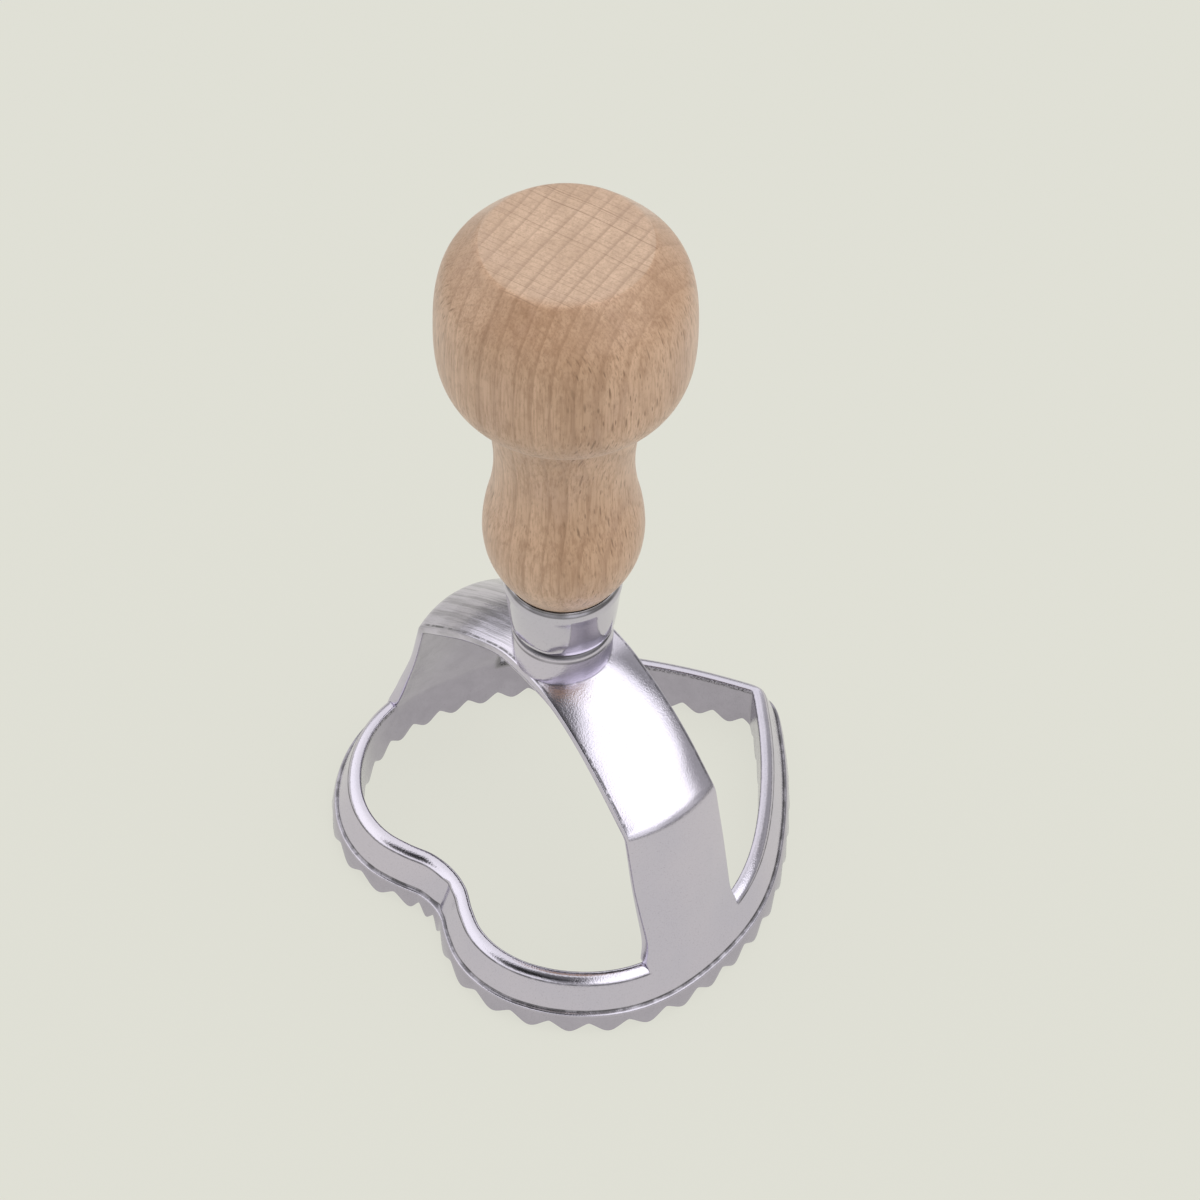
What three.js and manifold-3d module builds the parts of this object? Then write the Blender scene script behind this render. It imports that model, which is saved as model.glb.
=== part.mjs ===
// Heart-shaped ravioli stamp: a chromed casting (toothed heart ring, bridge and
// collar in one piece), a tapered ferrule and a turned beech knob, held together
// by one wood screw with a washer. Millimetres, +Z up, teeth on z = 0.
import * as THREE from 'three';
import { mergeVertices } from 'three/addons/utils/BufferGeometryUtils.js';
import Module from 'manifold-3d';

const wasm = await Module();
wasm.setup();

// ---- driving dimensions ----------------------------------------------------
const HANDLE_Y = -6.55;       // handle axis, measured from the middle of the heart

// ring
const RIM_Z = 8.45;           // top of the rim
const LEDGE_Z = 3.35;         // ledge above the toothed band
const BAND_OUT = 4.15;        // band face, outward from the rim's inner edge
const BAND_FOOT = 4.7;        // the same at the tooth tips
const LEDGE_IN = 3.55;        // root of the drafted wall
const RIM_OUT = 2.0;          // top of the drafted wall
const TEETH = 40;
const TOOTH_DEPTH = 1.75;

// rim's inner edge, right half, from the cleft to the tip (about the handle axis)
const HEART_HALF = [
  [0.0, -19.45], [3.87, -20.02], [7.45, -21.62], [11.18, -22.79], [15.08, -22.77],
  [18.83, -21.66], [22.19, -19.64], [25.07, -16.98], [27.41, -13.83], [29.07, -10.28],
  [29.9, -6.46], [29.99, -2.54], [29.54, 1.36], [28.71, 5.2], [27.52, 8.93],
  [25.88, 12.5], [23.78, 15.82], [21.34, 18.89], [18.66, 21.76], [15.83, 24.48],
  [12.87, 27.06], [9.8, 29.5], [6.62, 31.8], [3.34, 33.95], [0.0, 36.02],
];

// bridge: outer surface on the centre line, x, z, then middle in y, half width, crown, thickness
const STRAP = [
  [0.0, 44.3, 0.25, 7.45, 1.35, 2.6], [5.0, 43.8, 0.25, 7.45, 1.35, 2.4], [9.0, 42.5, 0.25, 7.5, 1.35, 2.1],
  [13.0, 40.6, 0.25, 7.55, 1.35, 1.9], [17.0, 38.3, 0.25, 7.6, 1.35, 1.8], [20.5, 36.0, 0.25, 7.7, 1.45, 1.8],
  [23.3, 33.9, 0.25, 7.75, 1.6, 1.8], [25.4, 32.1, 0.25, 7.8, 1.75, 1.8], [26.6, 30.5, 0.25, 7.8, 1.9, 1.8],
  [27.2, 28.6, 0.25, 7.8, 1.95, 1.8], [27.6, 26.6, 0.25, 7.85, 1.95, 1.8], [28.7, 22.0, 0.25, 7.9, 1.9, 1.8],
  [29.7, 17.6, 0.25, 8.0, 1.8, 1.85], [30.7, 13.2, 0.25, 8.15, 1.8, 1.9], [31.3, 10.4, 0.25, 8.35, 1.8, 1.95],
  [31.65, 8.9, 0.25, 8.6, 1.8, 1.95], [31.8, 8.2, 0.25, 8.9, 1.8, 1.95], [32.1, 6.6, 0.25, 8.9, 1.8, 1.9],
];
const STRAP_ACROSS = 8;

// collar on the bridge
const COLLAR_R = 7.12;
const COLLAR_BOTTOM = 40.2;
const COLLAR_TOP = 48.9;
const COLLAR_BORE_R = 2.95;

// ferrule
const FERRULE_BOTTOM = 49.2;
const FERRULE_TOP = 58.75;
const FERRULE_BORE_R = 6.4;

// screw, washer and pilot hole
const THREAD_R = 2.5;
const CORE_R = 1.75;
const PITCH = 2.2;
const SCREW_TIP = 73.0;
const THREAD_START = 50.4;
const HEAD_R = 4.6;
const HEAD_TOP = 38.5;
const HEAD_H = 3.0;
const WASHER_R = 5.6;
const WASHER_BOTTOM = 38.8;
const WASHER_TOP = 39.9;
const PILOT_R = 2.85;
const PILOT_TOP = 76.0;

const TURN_SEGMENTS = 40;     // sides of the turned pieces

// ---- helpers ---------------------------------------------------------------
function bare(geometry) {
  const g = geometry.clone();
  g.deleteAttribute('normal');
  g.deleteAttribute('uv');
  return mergeVertices(g, 1e-4);
}

// faces turned outward, whatever the mapping did to their order
function outward(geometry) {
  const p = geometry.attributes.position, ix = geometry.index;
  const a = new THREE.Vector3(), b = new THREE.Vector3(), c = new THREE.Vector3();
  let volume = 0;
  for (let i = 0; i < ix.count; i += 3) {
    a.fromBufferAttribute(p, ix.getX(i));
    b.fromBufferAttribute(p, ix.getX(i + 1));
    c.fromBufferAttribute(p, ix.getX(i + 2));
    volume += a.dot(b.cross(c));
  }
  if (volume < 0) {
    for (let i = 0; i < ix.count; i += 3) {
      const t = ix.getX(i + 1);
      ix.setX(i + 1, ix.getX(i + 2));
      ix.setX(i + 2, t);
    }
  }
  return geometry;
}

function solid(geometry) {
  const g = outward(bare(geometry));
  return new wasm.Manifold(new wasm.Mesh({
    numProp: 3,
    vertProperties: new Float32Array(g.attributes.position.array),
    triVerts: new Uint32Array(g.index.array),
  }));
}

function surface(manifold) {
  const m = manifold.getMesh();
  const g = new THREE.BufferGeometry();
  const xyz = new Float32Array(m.numVert * 3);
  for (let i = 0; i < m.numVert; i++)
    for (let k = 0; k < 3; k++) xyz[3 * i + k] = m.vertProperties[i * m.numProp + k];
  g.setAttribute('position', new THREE.BufferAttribute(xyz, 3));
  g.setIndex(new THREE.BufferAttribute(new Uint32Array(m.triVerts), 1));
  return g;
}

// turned solid about Z from [radius, z] pairs
function turned(profile, segments = TURN_SEGMENTS) {
  const g = new THREE.LatheGeometry(profile.map(([r, z]) => new THREE.Vector2(r, z)), segments);
  g.rotateX(Math.PI / 2);
  return outward(bare(g));
}

function finish(geometry) {
  const g = geometry.index ? geometry.toNonIndexed() : geometry;
  g.computeVertexNormals();
  return g;
}

// ---- heart curve -----------------------------------------------------------
const half = new THREE.SplineCurve(HEART_HALF.map(([x, y]) => new THREE.Vector2(x, y))).getSpacedPoints(400);
half[0].x = 0;
half[400].x = 0;
const heart = [...half, ...half.slice(1, 400).reverse().map((p) => new THREE.Vector2(-p.x, p.y))];
const HN = heart.length;
const at = (f) => {                       // point at arc-length fraction f, anticlockwise from the cleft
  const t = (((f % 1) + 1) % 1) * HN, i = Math.floor(t), k = t - i;
  return new THREE.Vector2().lerpVectors(heart[i % HN], heart[(i + 1) % HN], k);
};
const NORMAL_SPAN = 1.5 / 188;            // softens the corner at the tip
const normalAt = (f) => {
  const d = at(f + NORMAL_SPAN).sub(at(f - NORMAL_SPAN)).normalize();
  return new THREE.Vector2(d.y, -d.x);
};
// x of the wall's outer face near y, right-hand side
const wallX = (y, out) => {
  let best = 0, gap = 1e9;
  for (let f = 0.1; f < 0.45; f += 0.001) {
    const q = at(f).addScaledVector(normalAt(f), out);
    if (Math.abs(q.y - y) < gap) { gap = Math.abs(q.y - y); best = q.x; }
  }
  return best;
};

// ---- ring with toothed band ------------------------------------------------
const columns = [];
for (let t = 0; t < TEETH; t++) {
  const middle = t === 0 || t === TEETH / 2 ? [[0.5, 0]] : [];
  for (const [phase, z] of [[0.0, TOOTH_DEPTH], [0.37, 0.3], [0.44, 0], ...middle, [0.56, 0], [0.63, 0.3]])
    columns.push({ f: (t + phase - 0.5) / TEETH, z });
}
// ring section, anticlockwise from the band's outer foot: offset outward, z
const SECTION = [
  [BAND_FOOT, null], [BAND_OUT, LEDGE_Z - 0.4], [BAND_OUT - 0.2, LEDGE_Z - 0.1], [LEDGE_IN, LEDGE_Z],
  [RIM_OUT + 0.12, RIM_Z - 1.08], [RIM_OUT - 0.2, RIM_Z - 0.52], [RIM_OUT - 0.75, RIM_Z - 0.12],
  [0.5, RIM_Z], [0.0, RIM_Z - 0.18], [-0.15, null],
];
function ring() {
  const g = new THREE.TorusGeometry(10, 1, SECTION.length, columns.length);
  const p = g.attributes.position, n = columns.length;
  for (let j = 0; j <= SECTION.length; j++) {
    const [out, z] = SECTION[j % SECTION.length];
    for (let i = 0; i <= n; i++) {
      const c = columns[i % n];
      const q = at(c.f).addScaledVector(normalAt(c.f), out);
      p.setXYZ(j * (n + 1) + i, q.x, q.y, z === null ? c.z : z);
    }
  }
  return g;
}

// ---- bridge ----------------------------------------------------------------
function bridge() {
  const steps = STRAP.length - 1;
  const g = new THREE.BoxGeometry(2, 2, 1, 2 * steps, STRAP_ACROSS, 1);
  const p = g.attributes.position;
  const base = wallX(0, RIM_OUT);
  for (let i = 0; i < p.count; i++) {
    const u = p.getX(i), v = p.getY(i), top = p.getZ(i) > 0;
    const k = Math.min(steps, Math.round(Math.abs(u) * steps));
    const [x, z, mid, w, crown, thick] = STRAP[k];
    const [x0, z0] = STRAP[Math.max(0, k - 1)], [x1, z1] = STRAP[Math.min(steps, k + 1)];
    const nrm = k === 0 ? new THREE.Vector2(0, 1) : new THREE.Vector2(z0 - z1, x1 - x0).normalize();
    const y = mid + v * w;
    // the arms take the plan curve of the heart towards their foot
    const foot = THREE.MathUtils.smoothstep(k, 9, 15);
    const sag = crown * v * v * (1 - foot);
    const plan = foot * (base - wallX(y, RIM_OUT));
    const d = sag + (top ? 0 : thick);
    const X = x - nrm.x * d - plan, Z = z - nrm.y * d;
    p.setXYZ(i, u < 0 ? -X : X, y, Z);
  }
  return g;
}

// ---- cutter head -----------------------------------------------------------
const collar = turned([
  [0, COLLAR_BOTTOM], [6.1, COLLAR_BOTTOM], [6.5, COLLAR_BOTTOM + 0.4], [6.95, 43.0], [COLLAR_R, 45.0],
  [COLLAR_R, 47.75], [7.0, 48.3], [6.75, 48.65], [6.3, COLLAR_TOP], [0, COLLAR_TOP],
]);
const bore = new THREE.CylinderGeometry(COLLAR_BORE_R, COLLAR_BORE_R, 30, 24).rotateX(Math.PI / 2).translate(0, 0, 45);
const headSolid = solid(ring()).add(solid(bridge())).add(solid(collar)).subtract(solid(bore));

// ---- ferrule ---------------------------------------------------------------
const ferruleGeometry = turned([
  [FERRULE_BORE_R, FERRULE_BOTTOM], [6.8, FERRULE_BOTTOM], [7.14, 49.42], [7.35, 50.0], [7.68, 52.2], [8.04, 55.7],
  [8.26, 57.3], [8.28, 57.7], [8.17, 58.25], [7.9, FERRULE_TOP], [FERRULE_BORE_R, FERRULE_TOP], [FERRULE_BORE_R, FERRULE_BOTTOM],
]);

// ---- handle ----------------------------------------------------------------
const handleGeometry = turned([
  [0, PILOT_TOP], [PILOT_R, PILOT_TOP - 1.6], [PILOT_R, 49.8], [3.3, 49.4], [5.8, 49.4], [6.1, 49.7],
  [6.1, 59.05], [7.4, 59.05], [7.72, 59.25], [8.5, 60.45], [9.65, 62.5], [10.6, 65.0], [11.05, 67.6], [11.1, 70.0],
  [10.75, 73.1], [10.05, 76.4], [9.62, 79.8], [9.56, 83.2], [9.85, 86.6], [10.4, 89.8], [11.05, 92.4], [11.75, 94.0],
  [12.3, 94.75], [13.0, 95.25], [14.2, 96.25], [15.5, 97.75], [16.45, 99.6], [17.05, 101.8], [17.32, 104.4],
  [17.36, 107.2], [17.28, 110.2], [17.02, 112.7], [16.5, 115.0], [15.7, 116.75], [14.6, 118.15], [12.25, 120.65],
  [11.7, 121.12], [11.15, 121.3], [0, 121.3],
]);

// ---- fixing screw ----------------------------------------------------------
const shank = turned([
  [0, HEAD_TOP - HEAD_H], [2.6, HEAD_TOP - HEAD_H], [3.9, HEAD_TOP - HEAD_H + 0.5], [4.5, HEAD_TOP - 1.3],
  [HEAD_R, HEAD_TOP - 0.4], [HEAD_R, HEAD_TOP], [2.3, HEAD_TOP], [2.3, THREAD_START], [CORE_R, THREAD_START + 1.2],
  [CORE_R, SCREW_TIP - 4.5], [0, SCREW_TIP],
], 16);
function thread() {
  const turns = 8.5, per = 10, n = turns * per;
  const g = new THREE.CylinderGeometry(1, 1, 1, 4, n);
  const p = g.attributes.position;
  for (let i = 0; i < p.count; i++) {
    const t = p.getY(i) + 0.5, a = t * turns * 2 * Math.PI;
    const fade = Math.min(1, Math.min(t, 1 - t) * turns / 0.7 + 0.05);
    const middle = Math.abs(p.getX(i)) < 1e-6 && Math.abs(p.getZ(i)) < 1e-6;
    const r = 1.5 + (middle ? 0 : p.getZ(i) * (p.getZ(i) > 0 ? (THREAD_R - 1.5) * fade : 0.6));
    const z = THREAD_START + 1.0 + t * turns * PITCH + (middle ? 0 : p.getX(i) * 0.62 * fade);
    p.setXYZ(i, r * Math.cos(a), r * Math.sin(a), z);
  }
  return g;
}
const slot = (angle) => new THREE.BoxGeometry(5.0, 1.0, 3.2).rotateZ(angle).translate(0, 0, HEAD_TOP - HEAD_H);
const screwSolid = solid(shank).add(solid(thread())).subtract(solid(slot(0.4)).add(solid(slot(0.4 + Math.PI / 2))));

// ---- washer ----------------------------------------------------------------
const washerGeometry = turned([
  [2.75, WASHER_BOTTOM], [WASHER_R, WASHER_BOTTOM], [WASHER_R, WASHER_TOP], [2.75, WASHER_TOP], [2.75, WASHER_BOTTOM],
], 28);

// ---- assembly --------------------------------------------------------------
const chrome = (name) => new THREE.MeshStandardMaterial({ name, color: 0xc9c8cf, roughness: 0.18, metalness: 1 });
const steel = new THREE.MeshStandardMaterial({ name: 'zinc_steel', color: 0xa9a9a6, roughness: 0.35, metalness: 1 });
const beech = new THREE.MeshStandardMaterial({ name: 'beech', color: 0xcba781, roughness: 0.55, metalness: 0 });

function piece(name, geometry, material) {
  const mesh = new THREE.Mesh(finish(geometry), material);
  mesh.name = name;
  return mesh;
}

const stamp = new THREE.Group();
stamp.position.set(0, HANDLE_Y, 0);
stamp.add(
  piece('cutter_head', surface(headSolid), chrome('chrome_casting')),
  piece('ferrule', ferruleGeometry, chrome('chrome_sleeve')),
  piece('handle', handleGeometry, beech),
  piece('fixing_screw', surface(screwSolid), steel),
  piece('washer', washerGeometry, steel),
);

export default stamp;
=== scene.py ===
import math

import bmesh
import bpy
import numpy as np
from mathutils import Matrix, Vector


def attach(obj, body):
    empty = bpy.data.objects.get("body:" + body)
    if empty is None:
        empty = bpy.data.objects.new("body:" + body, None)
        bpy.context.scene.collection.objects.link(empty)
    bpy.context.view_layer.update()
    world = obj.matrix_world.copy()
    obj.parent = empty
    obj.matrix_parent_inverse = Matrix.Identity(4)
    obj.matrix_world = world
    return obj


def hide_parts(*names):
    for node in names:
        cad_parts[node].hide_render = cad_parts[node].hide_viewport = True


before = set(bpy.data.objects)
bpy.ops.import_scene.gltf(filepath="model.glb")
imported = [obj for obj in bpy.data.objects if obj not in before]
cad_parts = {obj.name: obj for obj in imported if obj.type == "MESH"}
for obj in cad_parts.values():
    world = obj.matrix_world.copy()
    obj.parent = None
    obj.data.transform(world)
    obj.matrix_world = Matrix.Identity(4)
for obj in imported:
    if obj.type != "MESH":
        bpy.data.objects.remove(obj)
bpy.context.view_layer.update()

MM = 0.001
AXIS_Y = -6.55            # the handle's axis, in the part's frame

scene = bpy.context.scene
scene.view_settings.view_transform = "Standard"
scene.view_settings.look = "None"
scene.view_settings.exposure = 0.0
scene.view_settings.gamma = 1.0


# ---------------------------------------------------------------- mesh helpers

def new_object(name, verts_mm, faces, angle=40.0):
    """A mesh object from points in millimetres, with its normals pointing out."""
    mesh = bpy.data.meshes.new(name)
    mesh.from_pydata([tuple(float(c) * MM for c in v) for v in verts_mm], [], faces)
    bm = bmesh.new()
    bm.from_mesh(mesh)
    bmesh.ops.recalc_face_normals(bm, faces=bm.faces)
    bm.to_mesh(mesh)
    bm.free()
    obj = bpy.data.objects.new(name, mesh)
    scene.collection.objects.link(obj)
    shade(obj, angle)
    return obj


def shade(obj, angle):
    mesh = obj.data
    mesh.polygons.foreach_set("use_smooth", [True] * len(mesh.polygons))
    mesh.set_sharp_from_angle(angle=math.radians(angle))
    mesh.update()


def apply_modifiers(obj):
    """Bakes the modifiers of obj into its mesh."""
    graph = bpy.context.evaluated_depsgraph_get()
    done = bpy.data.meshes.new_from_object(obj.evaluated_get(graph))
    old = obj.data
    obj.modifiers.clear()
    obj.data = done
    bpy.data.meshes.remove(old)


def lathe(name, profile, segments=160, closed=False, angle=40.0):
    """A turned solid about the handle's axis. The profile is (radius, z) in millimetres, and it closes on itself or starts and ends on the axis."""
    verts, rings = [], []
    for r, z in profile:
        if r < 1e-6:
            rings.append([len(verts)])
            verts.append((0.0, AXIS_Y, z))
            continue
        ring = []
        for i in range(segments):
            a = 2 * math.pi * i / segments
            ring.append(len(verts))
            verts.append((r * math.cos(a), AXIS_Y + r * math.sin(a), z))
        rings.append(ring)
    faces = []
    pairs = list(zip(rings, rings[1:]))
    if closed:
        pairs.append((rings[-1], rings[0]))
    for lower, upper in pairs:
        for i in range(segments):
            j = (i + 1) % segments
            if len(lower) == 1 and len(upper) == 1:
                continue
            if len(lower) == 1:
                faces.append((lower[0], upper[j], upper[i]))
            elif len(upper) == 1:
                faces.append((lower[i], lower[j], upper[0]))
            else:
                faces.append((lower[i], lower[j], upper[j], upper[i]))
    return new_object(name, verts, faces, angle)


def spline(points, per_span):
    """A smooth curve through points, open at both ends."""
    p = [np.array(q, float) for q in points]
    p = [2 * p[0] - p[1]] + p + [2 * p[-1] - p[-2]]
    out = []
    for i in range(1, len(p) - 2):
        a, b, c, d = p[i - 1], p[i], p[i + 1], p[i + 2]
        for k in range(per_span):
            t = k / per_span
            out.append(0.5 * (2 * b + (c - a) * t + (2 * a - 5 * b + 4 * c - d) * t * t + (3 * b - a - 3 * c + d) * t ** 3))
    out.append(p[-2])
    return np.array(out)


def smooth(lo, hi, x):
    t = min(1.0, max(0.0, (x - lo) / (hi - lo)))
    return t * t * (3 - 2 * t)


# ---------------------------------------------------------------- the cutter head

# Inner edge of the rim, right half, from the cleft round to the point.
HEART_HALF = [(0, -19.45), (3.87, -20.02), (7.45, -21.62), (11.18, -22.79), (15.08, -22.77), (18.83, -21.66), (22.19, -19.64), (25.07, -16.98),
              (27.41, -13.83), (29.07, -10.28), (29.9, -6.46), (29.99, -2.54), (29.54, 1.36), (28.71, 5.2), (27.52, 8.93), (25.88, 12.5),
              (23.78, 15.82), (21.34, 18.89), (18.66, 21.76), (15.83, 24.48), (12.87, 27.06), (9.8, 29.5), (6.62, 31.8), (3.34, 33.95), (0, 36.02)]
TEETH = 40
TOOTH_SHIFT = -0.22
TOOTH_DEPTH = 1.75
TOOTH_PHASES = [0.0, 0.05, 0.14, 0.26, 0.38, 0.5, 0.62, 0.74, 0.86, 0.95]
RIM_Z = 8.45
LEDGE_Z = 3.35
FOOT_OUT, BAND_OUT, LEDGE_IN, RIM_OUT = 4.72, 4.12, 3.58, 2.0

# Bridge strap: x, z of its top along the middle, half width, crown, for the right side.
ARCH = [(0, 44.35), (5, 43.9), (9, 42.6), (13, 40.7), (17, 38.35), (20.5, 36.0), (23.3, 33.8)]
CREASE = (26.55, 31.15)
CREASE_R = 4.2
ARM_FOOT = (32.05, 7.2)
MID_NEAR, MID_FAR = 0.4, 0.9
EDGE_T = 1.25


def heart_loop():
    """Dense closed loop of the rim's inner edge, anticlockwise from the cleft, with arc-length fractions."""
    pts = [(-HEART_HALF[1][0], HEART_HALF[1][1])] + HEART_HALF
    half = spline(pts, 60)[60:]
    half[:, 0] = np.maximum(half[:, 0], 0)
    left = half[::-1][1:-1].copy()
    left[:, 0] *= -1
    loop = np.vstack([half, left])
    step = np.linalg.norm(np.roll(loop, -1, axis=0) - loop, axis=1)
    length = step.sum()
    f = np.concatenate([[0], np.cumsum(step)[:-1]]) / length
    return loop, f, length


LOOP, LOOP_F, LOOP_LEN = heart_loop()


def heart_at(f):
    f = f % 1.0
    ff = np.concatenate([LOOP_F, [1.0]])
    xy = np.vstack([LOOP, LOOP[:1]])
    return np.array([np.interp(f, ff, xy[:, 0]), np.interp(f, ff, xy[:, 1])])


def heart_normal(f, chord=1.5):
    d = heart_at(f + chord / LOOP_LEN) - heart_at(f - chord / LOOP_LEN)
    d /= np.linalg.norm(d)
    return np.array([d[1], -d[0]])


def tooth_z(phase):
    q = abs(phase - 0.5) * 2
    return TOOTH_DEPTH * (0.62 * (0.5 - 0.5 * math.cos(math.pi * q)) + 0.38 * q ** 1.7)


def ring_section(zb):
    """The ring's cross-section as (outward offset, z), from the foot's outer edge up, over the rim and down inside. zb is the edge's height there."""
    foot = FOOT_OUT - 0.24 * (zb / TOOTH_DEPTH) ** 0.8        # the band is drawn in between the teeth
    return [
        (foot - 0.16, zb - 0.0),
        (foot, zb + 0.16),
        (BAND_OUT + 0.10, 2.86),
        (BAND_OUT + 0.01, LEDGE_Z - 0.24),
        (BAND_OUT - 0.10, LEDGE_Z - 0.05),
        (BAND_OUT - 0.25, LEDGE_Z + 0.02),
        (LEDGE_IN + 0.13, LEDGE_Z + 0.02),
        (LEDGE_IN + 0.01, LEDGE_Z + 0.09),
        (LEDGE_IN - 0.07, LEDGE_Z + 0.36),
        (LEDGE_IN - 0.68, LEDGE_Z + 2.0),
        (RIM_OUT + 0.25, RIM_Z - 1.42),
        (RIM_OUT + 0.12, RIM_Z - 1.08),      # 11: the strap's outer face grows from here
        (RIM_OUT - 0.03, RIM_Z - 0.77),
        (RIM_OUT - 0.30, RIM_Z - 0.44),
        (RIM_OUT - 0.64, RIM_Z - 0.20),
        (0.97, RIM_Z - 0.05),
        (0.54, RIM_Z + 0.01),
        (0.19, RIM_Z - 0.03),
        (0.03, RIM_Z - 0.20),
        (0.0, RIM_Z - 0.62),                 # 19: and its inner face from here
        (-0.05, 5.2),
        (-0.12, 3.1),
        (-0.15, zb + 0.16),
        (-0.02, zb),
        (1.2, zb - 0.0),
        (3.1, zb - 0.0),
    ]


K_OUT, K_IN = 11, 19
CREASED = {6: 0.5, 7: 0.8, 8: 1.0, 9: 1.0, 10: 0.9, 11: 0.8, 12: 0.5, 13: 0.25}


def strap_path():
    """Dense (x, z) of the strap's top middle line on the right side, from the crown's middle to the arm's foot."""
    top = [tuple(q) for q in spline(ARCH, 24)]
    a, c, b = np.array(ARCH[-1]), np.array(CREASE), np.array(ARM_FOOT)
    u, w = (a - c) / np.linalg.norm(a - c), (b - c) / np.linalg.norm(b - c)
    turn = math.acos(float(u @ w))
    reach = CREASE_R / math.tan(turn / 2)
    p0, p1 = c + u * reach, c + w * reach
    fillet = []
    for k in range(13):
        t = k / 12
        fillet.append(tuple((1 - t) ** 2 * p0 + 2 * t * (1 - t) * (c * 0.9 + (p0 + p1) * 0.05) + t * t * p1))
    lead = [tuple(a + (p0 - a) * k / 8) for k in range(1, 8)]
    arm = [tuple(p1 + (b - p1) * k / 60) for k in range(1, 61)]
    return np.array(top + lead + fillet + arm)


PATH = strap_path()
PATH_S = np.concatenate([[0], np.cumsum(np.linalg.norm(np.diff(PATH, axis=0), axis=1))])
PATH_LEN = PATH_S[-1]


def path_at(s):
    return np.array([np.interp(s, PATH_S, PATH[:, 0]), np.interp(s, PATH_S, PATH[:, 1])])


def path_normal(s):
    d = path_at(min(PATH_LEN, s + 0.35)) - path_at(max(0.0, s - 0.35))
    d /= np.linalg.norm(d)
    return np.array([-d[1], d[0]])


def half_width(s, z):
    w = 7.42 + 0.28 * smooth(6, 24, s) + 0.25 * smooth(30, 50, s)
    return w + 0.95 * smooth(13.5, 7.6, z) ** 2 if z < 13.5 and s > 30 else w


def crown(s):
    return 1.35 + 0.5 * smooth(14, 30, s)


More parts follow.
